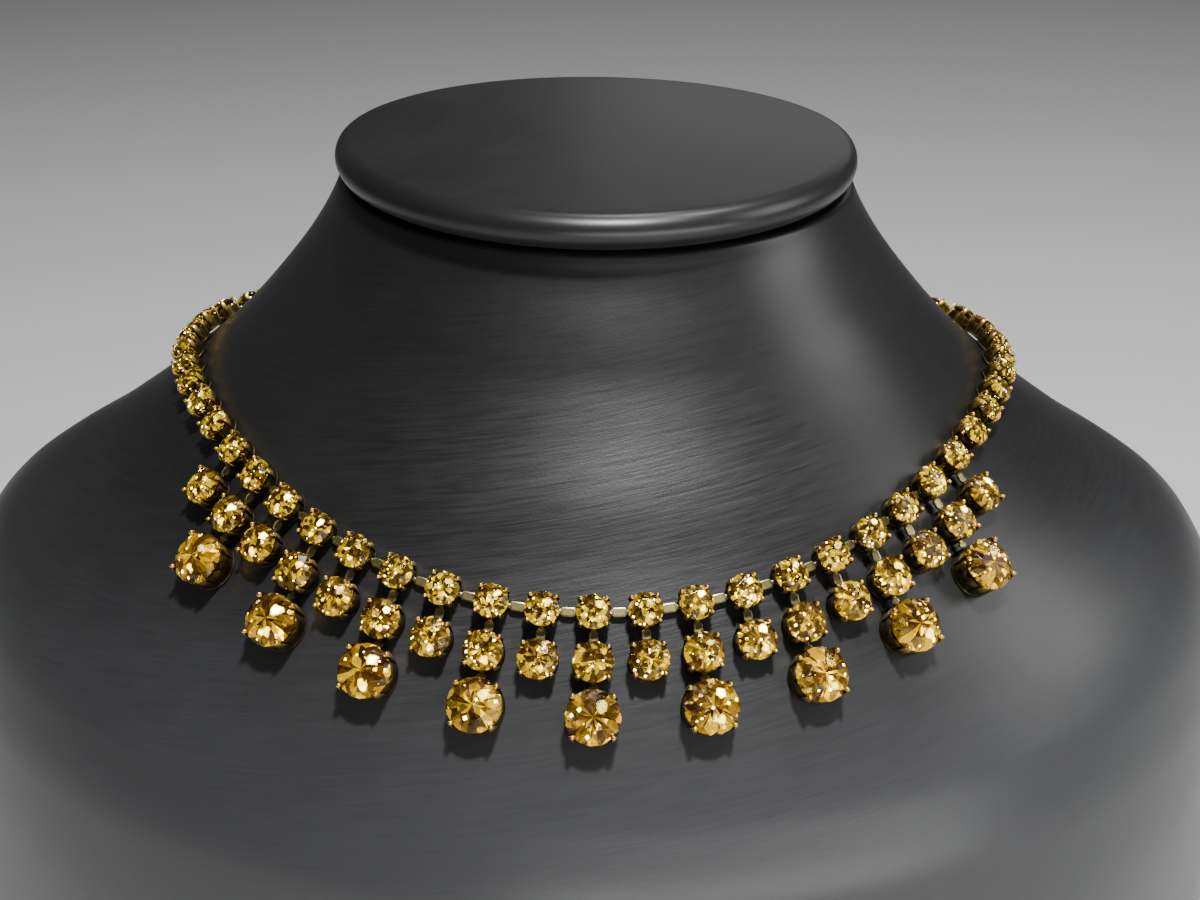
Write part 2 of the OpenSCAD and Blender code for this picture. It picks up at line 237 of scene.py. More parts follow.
def leatherFinish(name, roughness=leather["roughness"], brushing=leather["brushing"]):
    f = Finish(name, specularIorLevel=0.46)
    place = f.add("ShaderNodeTexCoord").out("Object")
    across, _, height = f.parts(place)
    slanted = f.joined(place, f.vector(z=across * -leather["strokeSlope"]))
    strokes = f.noise(f.stretch(slanted, leather["strokes"]), 1.0, 3.0, 0.6)
    finer = f.noise(f.stretch(slanted, leather["finerStrokes"]), 1.0, 2.0, 0.5)
    clouds = f.noise(place, leather["clouds"], 4.0, 0.6)
    middle = 1 - (across * across).between(*leather["strokesAcross"])
    front = middle * height.between(*leather["strokesFoot"]) * (1 - height.between(*leather["strokesTop"]))
    brushed = leather["strokesFaint"] + front * leather["strokesFull"]
    pebbles = f.add("ShaderNodeTexVoronoi", {"feature": "SMOOTH_F1"},
                    {"Vector": place, "Scale": leather["pebbles"], "Smoothness": 0.6}).out("Distance")
    tone = strokes * 0.3 + clouds * 0.7
    # painted light: the leather turns paler down the lower chest, where light falls on it
    paintedLightShare = 1 - (height + (clouds - 0.5) * 0.03).between(leather["paintedLightTo"], leather["paintedLightFrom"])
    black = f.mix(tone.between(0.3, 0.7), leather["dark"], leather["light"])
    grooves = (strokes + finer * 0.4) * brushed * brushing
    f.set(
        baseColor=f.mix(paintedLightShare * (0.7 + strokes * 0.6), black, leather["paintedLight"]),
        roughness=roughness + (strokes - 0.5) * brushed * brushing * 0.4 + (clouds - 0.5) * 0.08,
        normal=f.bump(grooves + pebbles * leather["grain"], 0.35, 0.00008),
    )
    return f.material


stoneLook = {
    # mottle: share of fine cells against rays, tilt: how much the seen facets lean, funnel: how much they
    # face the axis as a pavilion's do, sectors and rings: number of the rays and of their steps, cells: how
    # fine the cells are, lines: strength of the painted dark rays, glow: how much paler the lower
    # side is painted, as painted light, level: brightness of the whole stone, sparks: how fine the painted
    # glints are, tones: the painted reflection of the foiled facets, from the darkest to the brightest
    "small": {
        "mottle": 0.75, "tilt": 0.6, "funnel": 0.3, "sectors": 16, "rings": 4.0, "cells": 4.2, "lines": 0.3,
        "glow": 0.26, "level": 0.47, "sparks": 5.0,
        "tones": [(0.0, (0.031, 0.013, 0.0)), (0.25, (0.056, 0.028, 0.0)), (0.5, (0.10, 0.055, 0.001)),
                  (0.75, (0.29, 0.175, 0.003)), (1.0, (0.95, 0.62, 0.004))],
    },
    "middle": {
        "mottle": 0.5, "tilt": 0.5, "funnel": 0.4, "sectors": 16, "rings": 3.0, "cells": 3.2, "lines": 0.6,
        "glow": 0.28, "level": 0.45, "sparks": 4.8,
        "tones": [(0.0, (0.030, 0.012, 0.0)), (0.25, (0.058, 0.027, 0.0)), (0.5, (0.105, 0.053, 0.001)),
                  (0.75, (0.29, 0.165, 0.003)), (1.0, (0.95, 0.58, 0.004))],
    },
    "large": {
        "mottle": 0.3, "tilt": 0.4, "funnel": 0.45, "sectors": 16, "rings": 2.0, "cells": 2.0, "lines": 0.9,
        "glow": 0.30, "level": 0.44, "sparks": 4.2,
        "tones": [(0.0, (0.027, 0.009, 0.0)), (0.25, (0.063, 0.025, 0.0)), (0.5, (0.115, 0.052, 0.001)),
                  (0.75, (0.31, 0.16, 0.002)), (1.0, (0.95, 0.53, 0.003))],
    },
}
# Amber glass over foil: the coat is the cut crown; the base is what the foiled facets throw back, a painted
# reflection
stoneGlass = {
    "metallic": 0.4, "coatWeight": 0.3, "coatRoughness": 0.06, "coatIor": 1.45,
    "specularTint": (1.0, 0.78, 0.3), "emissionStrength": 1.0,
}
# painted glints: colours and strength of the emission that makes them glow
paintedGlints = {
    "rim": (1.0, 0.58, 0.01), "heart": (1.0, 0.84, 0.36), "power": 20.0,
    # the larger round painted highlights: place, radius, rarity, shift of their chance, strength
    "spots": [(0.30, 0.38, 0.24, 0.55, 0.0, 1.0), (0.20, -0.48, 0.20, 0.62, 3.1, 0.3)],
}
stoneSeeds = {
    "rays": 37.0, "cells": 23.0, "breaks": 11.0, "glints": 53.0, "bends": 19.0, "spots": 91.0,
    "small": 100, "middle": 200, "large": 300, "step": 0.37,     # first number of each size, and their step
}


def spot(f, x, y, radius, which, rarity):  # a round painted highlight, glowing by emission, on some of the stones
    chance = f.add("ShaderNodeTexWhiteNoise", {"noise_dimensions": "1D"},
                   {"W": which * stoneSeeds["spots"]}).out("Value")
    away = (x * x + y * y).root()
    return chance.between(rarity, rarity + 0.1) * (1 - away.between(radius * 0.55, radius))


def stoneFinish(name, look):
    f = Finish(name, **stoneGlass)
    x, y, which = f.parts(f.read("stonePlace"))

    def seeded(name):  # a place in a pattern of the stone's own
        return f.vector(x, y, which * stoneSeeds[name])

    across = (x * x + y * y).root()
    angle = y.turnFrom(x) + 0.5
    petal = (angle * 8).part() - 0.5
    sector = (angle * look["sectors"] + across * 0.35).floor()
    ring = (across * look["rings"] + petal.size() * 0.9).floor()
    rays = f.add("ShaderNodeTexWhiteNoise", {"noise_dimensions": "3D"},
                 {"Vector": f.vector(sector, ring, which * stoneSeeds["rays"])}).out("Color")
    cells = f.add("ShaderNodeTexVoronoi", {"feature": "F1"},
                  {"Vector": seeded("cells"), "Scale": look["cells"]}).out("Color")
    turnX, turnY, shade = f.parts(f.mix(look["mottle"], rays, cells))
    edge = ((angle * look["sectors"] * 0.5).part() - 0.5).size() * 2      # 1 on the lines between rays
    broken = f.noise(seeded("breaks"), 2.2, 2.0, 0.5).between(0.42, 0.58)
    # painted dark lines of the reflected facets, from near the middle to near the edge, broken here and
    # there
    line = edge.between(0.80, 0.96) * across.between(0.03, 0.15) * (1 - across.between(0.6, 0.95)) * broken
    spread = 2 * look["tilt"] / (0.65 + 0.65 * look["mottle"])
    funnel = -look["funnel"]
    lean = f.joined(f.scaled(f.read("stoneX"), (turnX - 0.5) * spread + x * funnel),
                    f.scaled(f.read("stoneY"), (turnY - 0.5) * spread + y * funnel))
    surface = f.add("ShaderNodeNewGeometry").out("Normal")
    seen = f.add("ShaderNodeVectorMath", {"operation": "NORMALIZE"}, {0: f.joined(surface, lean)}).out()
    side, up, _ = f.parts(f.read("stoneSeat"))
    # painted reflection of the foiled facets, and painted light: the stone is paler on its lower side
    tone = ((shade - 0.5) * 2.0 + look["level"] - up * look["glow"]) * (1 - line * look["lines"])
    # painted glints, glowing by emission, on some of the small diamonds, more of them low on the stone
    glints = f.add("ShaderNodeTexVoronoi", {"feature": "F1", "distance": "MANHATTAN"},
                   {"Vector": seeded("glints"), "Scale": look["sparks"]})
    chosen = (f.parts(glints.out("Color"))[0] - up * 0.12).between(0.68, 0.78)
    glint = chosen * (1 - glints.out("Distance").between(0.30, 0.52)) * (1 - across.between(0.85, 0.98))
    bends = f.add("ShaderNodeTexNoise", links={"Vector": seeded("bends"), "Scale": 2.4, "Detail": 2.0})
    bend, sway, _ = f.parts(f.scaled(bends.out("Color"), 0.5))
    left, high = side + bend - 0.25, up + sway - 0.25
    glint = glint * turnY.between(0.36, 0.50)      # not on the facets that lean down
    for spotX, spotY, radius, rarity, shift, strength in paintedGlints["spots"]:
        glint = glint + spot(f, left - spotX, high - spotY, radius, which + shift, rarity) * strength
    fire = f.mix(glint, paintedGlints["rim"], paintedGlints["heart"])
    f.set(
        baseColor=f.ramp(tone, look["tones"]),
        roughness=0.16 + turnX * 0.14,
        normal=seen,
        emissionColor=f.scaled(fire, glint * paintedGlints["power"]),
    )
    return f.material


metalLook = {
    "pale": (0.68, 0.45, 0.10),
    # painted shade: the dark colour a setting takes towards its foot, under the stone; the wear spots also
    # mix it in
    "paintedShadeAndWear": (0.046, 0.031, 0.011),
    "link": (0.35, 0.31, 0.135),
    "linkLow": (0.20, 0.16, 0.07),
    "roughness": 0.27,
    "spots": 900.0, "scratches": (2600, 2600, 700), "wear": 0.5,
    "linkShine": 0.85, "claspShine": 0.7,      # the settings' shine grows with height, to 1: their darker foot is painted shade
}


def metalFinish(name, high, low):
    f = Finish(name, metallic=1.0)
    place = f.add("ShaderNodeTexCoord").out("Object")
    spots = f.noise(place, metalLook["spots"], 4.0, 0.65)
    scratches = f.noise(f.stretch(place, metalLook["scratches"]), 1.0, 2.0, 0.5)
    height = f.parts(f.read("metalPlace"))[2]
    # painted shade: darker towards the setting's foot, under the stone; the spots are wear
    pale = height.between(0.2, 0.9) * 0.8 + spots.between(0.35, 0.75) * 0.35 - 0.1
    f.set(
        baseColor=f.mix(pale.between(0.0, 1.0), low, high),
        roughness=metalLook["roughness"] + (spots - 0.5) * 0.22 + (1 - pale) * 0.2,
        normal=f.bump(spots * metalLook["wear"] + scratches * 0.4, 0.3, 0.00003),
    )
    return f.material


def floorFinish():
    f = Finish("floorPaper", specularIorLevel=0.2)
    place = f.add("ShaderNodeTexCoord").out("Object")
    fibres = f.noise(place, 900.0, 4.0, 0.6)
    f.set(
        baseColor=f.mix(fibres.between(0.3, 0.7), *studio["paper"]),
        roughness=0.85,
        normal=f.bump(fibres, 0.15, 0.0002),
    )
    return f.material


# The bust's form, as in the frame
neck = {
    # height, half width, depth in front of the neck's axis, depth behind it, swell of the shoulder, in mm
    "sections": np.array([
        (0, 112, 88, 55, 15), (30, 117.5, 96, 59, 11.5), (62, 119, 99, 61, 7), (78, 118.2, 97.5, 60, 6.5),
        (90, 115.8, 92.8, 58.4, 6.5), (98, 112.8, 88, 56.8, 6.6), (106, 108, 82.5, 54.9, 6.6),
        (112, 102.8, 78, 53.3, 6.2), (118, 96.4, 73.4, 51.7, 4.2), (124, 89.2, 68.8, 50.2, 1),
        (131, 80.2, 63.9, 48.6, 0), (142, 67, 55.8, 46.4, 0), (150, 59.4, 50.6, 44.9, 0),
        (160, 51.4, 45.9, 42.8, 0), (166, 47.8, 43.4, 41, 0), (169.5, 46.2, 42.4, 40.2, 0),
    ], float),
    "swellPower": 8,     # keeps the swell near the sides
    "axisY": 19.0,
    "slant": 4.0,        # degrees, front down
    "slantStart": 150.0,
    "edge": 0.8,         # rounding of the top and base edges
}
sections = neck["sections"]
neckTop = sections[-1, 0]
tops = sections[:, 0]


def rowSlopes(column):  # at the sections, so that the form doesn't swing out between them
    rates = np.diff(sections[:, column]) / np.diff(tops)
    a, b = rates[:-1], rates[1:]
    inner = np.where(a * b <= 0, 0, 2 * a * b / np.where(a + b == 0, 1, a + b))
    return np.concatenate([rates[:1], inner, rates[-1:]])


slopes = {column: rowSlopes(column) for column in (1, 2, 3, 4)}


def sizeAt(column, z):
    z = np.asarray(z, float)
    i = np.clip(np.searchsorted(tops, z, side="right") - 1, 0, len(tops) - 2)
    h = tops[i + 1] - tops[i]
    u = (z - tops[i]) / h
    w = 1 - u
    a, b = sections[i, column], sections[i + 1, column]
    bend = h * (slopes[column][i] * u * w * w - slopes[column][i + 1] * u * u * w)
    return a * (1 + 2 * u) * w * w + b * u * u * (3 - 2 * u) + bend


def slantAt(z):
    u = np.clip((np.asarray(z, float) - neck["slantStart"]) / (neckTop - neck["slantStart"]), 0, 1)
    return math.tan(math.radians(neck["slant"])) * u * u * (3 - 2 * u)


def onBust(t, z, inset=0.0):  # t in degrees from the front, positive to +X
    a = np.radians(np.asarray(t, float))
    z = np.asarray(z, float)
    c = np.cos(a)
    deep = np.where(c >= 0, sizeAt(2, z), sizeAt(3, z))
    y = -c * (deep - inset)
    wide = sizeAt(1, z) + sizeAt(4, z) * np.abs(np.sin(a)) ** neck["swellPower"]
    return np.stack([(wide - inset) * np.sin(a), neck["axisY"] + y, z + slantAt(z) * y], -1)


def skinNormal(t, z, step=0.05):  # the step is in degrees and in mm
    n = np.cross(onBust(t + step, z) - onBust(t - step, z), onBust(t, z + step) - onBust(t, z - step))
    return n / np.linalg.norm(n)


def offBust(t, z, h):
    return onBust(t, z) + h * skinNormal(t, z)


# Seats of the chain, as in the frame
chain = {
    "pitch": 7.85, "sideSettings": 26, "rowHeight": 118.0, "rise": 32.5, "easing": 14.5, "napeSink": 5.0,
    "sideDrops": 9, "midDrop": 7.75, "largeDrop": 8.35, "plumbTurn": 0.2,
    "nextSetting": (2, 14),                  # degrees between which the next setting is looked for
    "hang": (1.2, 0.2),                      # and heights under a seat for its drop, as shares of its length
    "lift": 0.3, "wall": 0.4, "linkClear": 0.3, "linkThick": 0.4, "linkWide": 1.45,
    "claspLong": 15.0, "claspWide": 4.6, "claspThick": 2.2, "claspCorner": 1.2,
    "claspRim": 0.5, "claspRecess": 0.12,
    "tongueIn": 1.0, "tongueHigh": 0.4,      # how far it enters, and its height as a share of the clasp's
}
gem = {
    "small": 5.5, "middle": 6.4, "large": 8.6,
    "pavilion": 0.42, "crown": 0.17, "table": 0.56, "girdle": 0.03, "turn": 17.0,
    "gap": 0.13, "tipGap": 0.15, "wallUnder": 0.15,
    "halfFacet": 22.5,                       # degrees
    "lowRing": 0.42, "broken": 0.006,        # corners of the lower facets and broken edges, as shares
}
linkHeight = chain["lift"] + chain["wall"] + chain["linkClear"] + chain["linkThick"] / 2
lastSetting = chain["sideSettings"]
sideDrops = chain["sideDrops"]


def rowZ(t):
    s, c = math.sin(math.radians(t)) ** 2, math.cos(math.radians(t)) ** 2
    if abs(t) <= 90:
        return chain["rowHeight"] + chain["rise"] * s - chain["easing"] * s * s
    return chain["rowHeight"] + chain["rise"] - chain["easing"] - chain["napeSink"] * c


def rowPoint(t):
    return offBust(t, rowZ(t), linkHeight)


def halved(low, high, tooFar, steps=20):  # the place between low and high where tooFar begins
    for _ in range(steps):
        middle = (low + high) / 2
        low, high = (low, middle) if tooFar(middle) else (middle, high)
    return (low + high) / 2


def apart(a, b):
    return float(np.linalg.norm(a - b))


halfRow = [0.0]
for _ in range(lastSetting):
    t, start = halfRow[-1], rowPoint(halfRow[-1])
    near, far = (t + turn for turn in chain["nextSetting"])
    halfRow.append(halved(near, far, lambda t: apart(rowPoint(t), start) > chain["pitch"]))


def rowT(i):
    return math.copysign(halfRow[abs(i)], i)


def smallSeat(i):
    return rowT(i), rowZ(rowT(i))


def dropFrom(seat, length):
    t, z = seat
    bend = chain["plumbTurn"] * length * math.sin(math.radians(2 * abs(t))) * math.sin(math.radians(t)) ** 2
    turned = t - math.copysign(bend, t)
    start = offBust(t, z, linkHeight)
    low, high = (z - share * length for share in chain["hang"])
    return turned, -halved(-high, -low, lambda m: apart(offBust(turned, -m, linkHeight), start) > length)


middleSeats = {i: dropFrom(smallSeat(i), chain["midDrop"]) for i in range(-sideDrops, sideDrops + 1)}
sideLarge = sideDrops // 2
largeSeats = {k: dropFrom(middleSeats[2 * k], chain["largeDrop"]) for k in range(-sideLarge, sideLarge + 1)}


def linkPoint(seat):
    return offBust(*seat, linkHeight)


claspSeat = (180.0, rowZ(180.0))
claspUp = skinNormal(*claspSeat)
claspFoot = offBust(*claspSeat, chain["lift"])


def tongueEnd(side):
    out = chain["claspLong"] / 2 - chain["tongueIn"]
    return claspFoot + np.array([side * out, 0, 0]) + chain["tongueHigh"] * chain["claspThick"] * claspUp


def way(a, b):
    return linkPoint(b) - linkPoint(a)


def rowWay(i, side):
    if side * i < lastSetting:
        return way(smallSeat(i), smallSeat(i + side))
    return tongueEnd(side) - linkPoint(smallSeat(i))


def smallWays(i):
    down = [way(smallSeat(i), middleSeats[i])] if abs(i) <= sideDrops else []
    return [rowWay(i, 1), rowWay(i, -1)] + down


def middleWays(i):
    down = [way(middleSeats[i], largeSeats[i // 2])] if i % 2 == 0 else []
    return [way(middleSeats[i], smallSeat(i))] + down


def unit(v):
    return v / np.linalg.norm(v)


def smallUp(i):
    t = rowT(i)
    return np.cross(skinNormal(t, rowZ(t)), rowPoint(t + 0.5) - rowPoint(t - 0.5))


def seatAxes(seat, up):  # origin, X, Y, Z of a setting
    n = skinNormal(*seat)
    y = unit(up - np.dot(up, n) * n)
    return offBust(*seat, chain["lift"]), np.cross(y, n), y, n


def wayAngle(axes, v):
    return math.degrees(math.atan2(np.dot(v, axes[2]), np.dot(v, axes[1])))


def linkAxes(start, end, normal):  # origin, X along the link, Y, Z
    x = unit(end - start)
    n = unit(normal - np.dot(normal, x) * x)
    return start, x, np.cross(n, x), n


print("seats worked out:", 2 * lastSetting + 1, "+", len(middleSeats), "+", len(largeSeats))


# Meshes
class Shape:  # points in mm, faces, and values for the shaders
    def __init__(self):
        self.points, self.faces, self.values, self.smooth = [], [], {}, []
        self.count = 0

    def add(self, points, faces, smooth=True, **values):
        self.points.append(np.asarray(points, float))
        self.faces += [tuple(v + self.count for v in face) for face in faces]
        self.smooth += [smooth] * len(faces)
        for name, rows in values.items():
            self.values.setdefault(name, []).append(np.broadcast_to(rows, (len(points), 3)))
        self.count += len(points)

    def addAt(self, axes, template, turn=0.0, smooth=True, **values):
        origin, x, y, z = axes
        a = math.radians(turn)
        turnedX, turnedY = math.cos(a) * x + math.sin(a) * y, math.cos(a) * y - math.sin(a) * x
        points, faces = template
        placed = origin + points[:, :1] * turnedX + points[:, 1:2] * turnedY + points[:, 2:] * z
        self.add(placed, faces, smooth, **values)

    def build(self, name, material, slot, *nodes, sharp=None):
        mesh = bpy.data.meshes.new(name)
        points = np.concatenate(self.points) * mm
        mesh.from_pydata(points.tolist(), [], self.faces)
        mesh.polygons.foreach_set("use_smooth", self.smooth)
        for key, rows in self.values.items():
            layer = mesh.attributes.new(key, "FLOAT_VECTOR", "POINT")
            layer.data.foreach_set("vector", np.concatenate(rows).astype(np.float32).ravel())
        mesh.materials.append(material)
        mesh.update()
        if sharp is not None:
            mesh.set_sharp_from_angle(angle=math.radians(sharp))
        piece = bpy.data.objects.new(name, mesh)
        bpy.context.scene.collection.objects.link(piece)
        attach(piece, "root")
        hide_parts(*nodes)


def ringFaces(rings, sides):  # between rings of points, with both ends closed
    faces = []
    for r in range(rings - 1):
        low, high = r * sides, (r + 1) * sides
        faces += [(low + k, low + (k + 1) % sides, high + (k + 1) % sides, high + k) for k in range(sides)]
    faces.append(tuple(range(sides - 1, -1, -1)))
    faces.append(tuple((rings - 1) * sides + k for k in range(sides)))
    return faces


# Bust and cap
bust = {"sides": 240, "heightStep": 1.25, "roundSteps": 5}


def makeBust():
    sides = np.arange(bust["sides"]) * 360 / bust["sides"]
    edge = neck["edge"]
    arc = np.linspace(0, math.pi / 2, bust["roundSteps"] + 1)
    rings = [(edge - edge * math.cos(a), edge - edge * math.sin(a)) for a in arc[::-1]]
    count = int((neckTop - 2 * edge) / bust["heightStep"])
    rings += [(0.0, z) for z in np.linspace(edge, neckTop - edge, count + 1)[1:-1]]
    rings += [(edge - edge * math.cos(a), neckTop - edge + edge * math.sin(a)) for a in arc]
    points = np.concatenate([onBust(sides, np.full(len(sides), z), inset) for inset, z in rings])
    shape = Shape()
    shape.add(points, ringFaces(len(rings), len(sides)))
    shape.build("bustSkin", leatherFinish("bustLeatherette"), "bust_leatherette", "bust_body", sharp=50)


cap = {
    "overhang": 0.6, "nose": 3.6,    # all round, and further at the front
    "foot": 0.02,                    # its plinth stands this much above the neck's top
    "thick": 6.0, "groove": 1.3, "plinthInset": 4.0, "rise": 0.8, "edgeSteps": 20, "topSteps": 16,
}


def makeCap():
    sides = np.arange(bust["sides"]) * 360 / bust["sides"]
    edge = cap["thick"] / 2
    plinth, nose = cap["plinthInset"] + cap["overhang"], cap["nose"]
    rings = [(plinth, cap["foot"], 0), (plinth, cap["groove"], 0)]      # inset, height, nose
    for k in range(cap["edgeSteps"] + 1):
        a = -math.pi / 2 + math.pi * k / cap["edgeSteps"]
        rings.append((edge - edge * math.cos(a), cap["groove"] + edge + edge * math.sin(a), nose))
    for k in range(1, cap["topSteps"]):
        u = k / cap["topSteps"]
        height = cap["groove"] + cap["thick"] + cap["rise"] * (1 - (1 - u) ** 2)
        rings.append((edge + u * (sections[-1, 2] - edge), height, nose))
    slope = math.tan(math.radians(neck["slant"]))
    a = np.radians(sides)
    c = np.cos(a)
    points = []
    for inset, height, ahead in rings:
        x = (sections[-1, 1] + cap["overhang"] - inset) * np.sin(a)
        deep = np.where(c >= 0, sections[-1, 2] + ahead, sections[-1, 3])
        y = -c * (deep + cap["overhang"] - inset)
        points.append(np.stack([x, neck["axisY"] + y, neckTop + slope * y + height], -1))
    shape = Shape()
    shape.add(np.concatenate(points), ringFaces(len(rings), len(sides)))
    finish = leatherFinish("capLeatherette", leather["capRoughness"], leather["capBrushing"])
    shape.build("capSkin", finish, "cap_leatherette", "bust_cap", sharp=50)


makeBust()
makeCap()
print("bust and cap made")


# Stones
def tipZ():
    return chain["wall"] + gem["tipGap"]


def edgeZ(d):
    return tipZ() + gem["pavilion"] * d


def polar(r, z, n, turn=0.0):
    a = np.radians(np.arange(n) * 360 / n + turn)
    return np.stack([r * np.cos(a), r * np.sin(a), np.full(n, z)], -1)


def brilliant(d):  # one cut stone with its edges just broken
    r = d / 2
    tableR, edge = gem["table"] * r, edgeZ(d)
    edgeTop = edge + gem["girdle"] * d
    top = edgeTop + gem["crown"] * d
    starR = 0.5 * (tableR + r)
    middleShare = math.cos(math.radians(gem["halfFacet"]))     # from a ring's corners to its facets' middles
    starZ = top + (edgeTop - top) * (starR * middleShare - tableR) / (r - tableR)
    lowR = gem["lowRing"] * r
    lowZ = tipZ() + (edge - tipZ()) * lowR * middleShare / r
    points = np.concatenate([
        polar(tableR, top, 8), polar(starR, starZ, 8, gem["halfFacet"]), polar(r, edgeTop, 16),
        polar(r, edge, 16), polar(lowR, lowZ, 8, gem["halfFacet"]), [[0, 0, tipZ()]],
    ])
    star, rim, lowRim, low, tip = 8, 16, 32, 48, 56
    faces = [tuple(range(8))]
    for k in range(8):
        faces += [
            (k, star + k, (k + 1) % 8),
            (k, star + (k + 7) % 8, rim + 2 * k, star + k),
            (star + k, rim + 2 * k, rim + 2 * k + 1),
            (star + k, rim + 2 * k + 1, rim + (2 * k + 2) % 16),
            (low + k, lowRim + 2 * k + 1, lowRim + 2 * k),
            (low + k, lowRim + (2 * k + 2) % 16, lowRim + 2 * k + 1),
            (tip, low + k, lowRim + 2 * k, low + (k + 7) % 8),
        ]
    faces += [(rim + j, lowRim + j, lowRim + (j + 1) % 16, rim + (j + 1) % 16) for j in range(16)]
    solid = bmesh.new()
    corners = [solid.verts.new(p) for p in points]
    for face in faces:
        solid.faces.new([corners[v] for v in face])
    broken = gem["broken"] * d
    bmesh.ops.bevel(solid, geom=solid.edges[:], offset=broken, segments=1, affect="EDGES", profile=0.5)
    bmesh.ops.recalc_face_normals(solid, faces=solid.faces[:])
    solid.verts.index_update()
    result = np.array([v.co for v in solid.verts]), [tuple(v.index for v in f.verts) for f in solid.faces]
    solid.free()
    return result


stoneShapes = {size: brilliant(gem[size]) for size in ("small", "middle", "large")}
stoneFinishes = {size: stoneFinish(size + "Stone", stoneLook[size]) for size in stoneShapes}


def addStone(shape, size, axes, turn, number):
    template = stoneShapes[size]
    local = template[0] / (gem[size] / 2)
    which = (stoneSeeds[size] + number) * stoneSeeds["step"] % 1
    place = np.stack([local[:, 0], local[:, 1], np.full(len(local), which)], -1)
    a = math.radians(turn)
    c, s = math.cos(a), math.sin(a)
    seat = np.stack([c * local[:, 0] - s * local[:, 1], s * local[:, 0] + c * local[:, 1], local[:, 2]], -1)
    shape.addAt(axes, template, turn, smooth=False, stonePlace=place, stoneSeat=seat,
                stoneX=c * axes[1] + s * axes[2], stoneY=c * axes[2] - s * axes[1])


def makeStones():
    row = Shape()
    for i in range(-lastSetting, lastSetting + 1):
        addStone(row, "small", seatAxes(smallSeat(i), smallUp(i)), gem["turn"] * i, i)
    row.build("rowStones", stoneFinishes["small"], "small_stones", "main_stones")
    for i in range(-sideDrops, sideDrops + 1):
        k = i + sideDrops + 1
        single = Shape()
        addStone(single, "middle", seatAxes(middleSeats[i], middleWays(i)[0]), gem["turn"] * k, k)
        single.build(f"middleStone{k}", stoneFinishes["middle"], "mid_stones", f"mid_stone_{k}")
    for i in range(-sideLarge, sideLarge + 1):
        k = i + sideLarge + 1
        single = Shape()
        axes = seatAxes(largeSeats[i], way(largeSeats[i], middleSeats[2 * i]))
        addStone(single, "large", axes, gem["turn"] * k, k)
        single.build(f"largeStone{k}", stoneFinishes["large"], "large_stones", f"large_stone_{k}")


makeStones()
print("stones made")


# Settings
setting = {
    "sides": 48, "slotWide": 1.0, "slotLow": 0.3, "slotHigh": 1.5,
    "slotClear": 1.5,    # degrees beside a slot without other corners
    "rim": 0.1,          # how far the foot stands out
    "rimHigh": 0.12, "wallFrom": 0.24,
    "taper": 0.1,        # the wall leans in towards its foot
    "notch": 0.18,       # side of the square notches between prongs, as a share of the stone
    "notchShort": 0.1,   # how much less deep they are
    "shineTop": 1.2,     # height above the stone's edge where the metal is palest
    "prongThick": 0.32,
    # from the foot to the tip of a prong: its widths as shares of the middle one, its thicknesses in mm
    "prongWidths": (1.25, 1.2, 1.12, 1.04, 0.96, 0.88, 0.7),
    "prongDepths": (0.3, 0.34, 0.36, 0.34, 0.32, 0.3, 0.22),
    "beadShape": (1.15, 0.9, 0.72), "beadLean": 0.55,
}


def wallIn(d):
    return d / 2 - gem["wallUnder"] - chain["wall"]


def wallTop(d):  # about one gap away from the pavilion, measured square to it
    return tipZ() + gem["pavilion"] * 2 * wallIn(d) - 1.4 * gem["gap"]


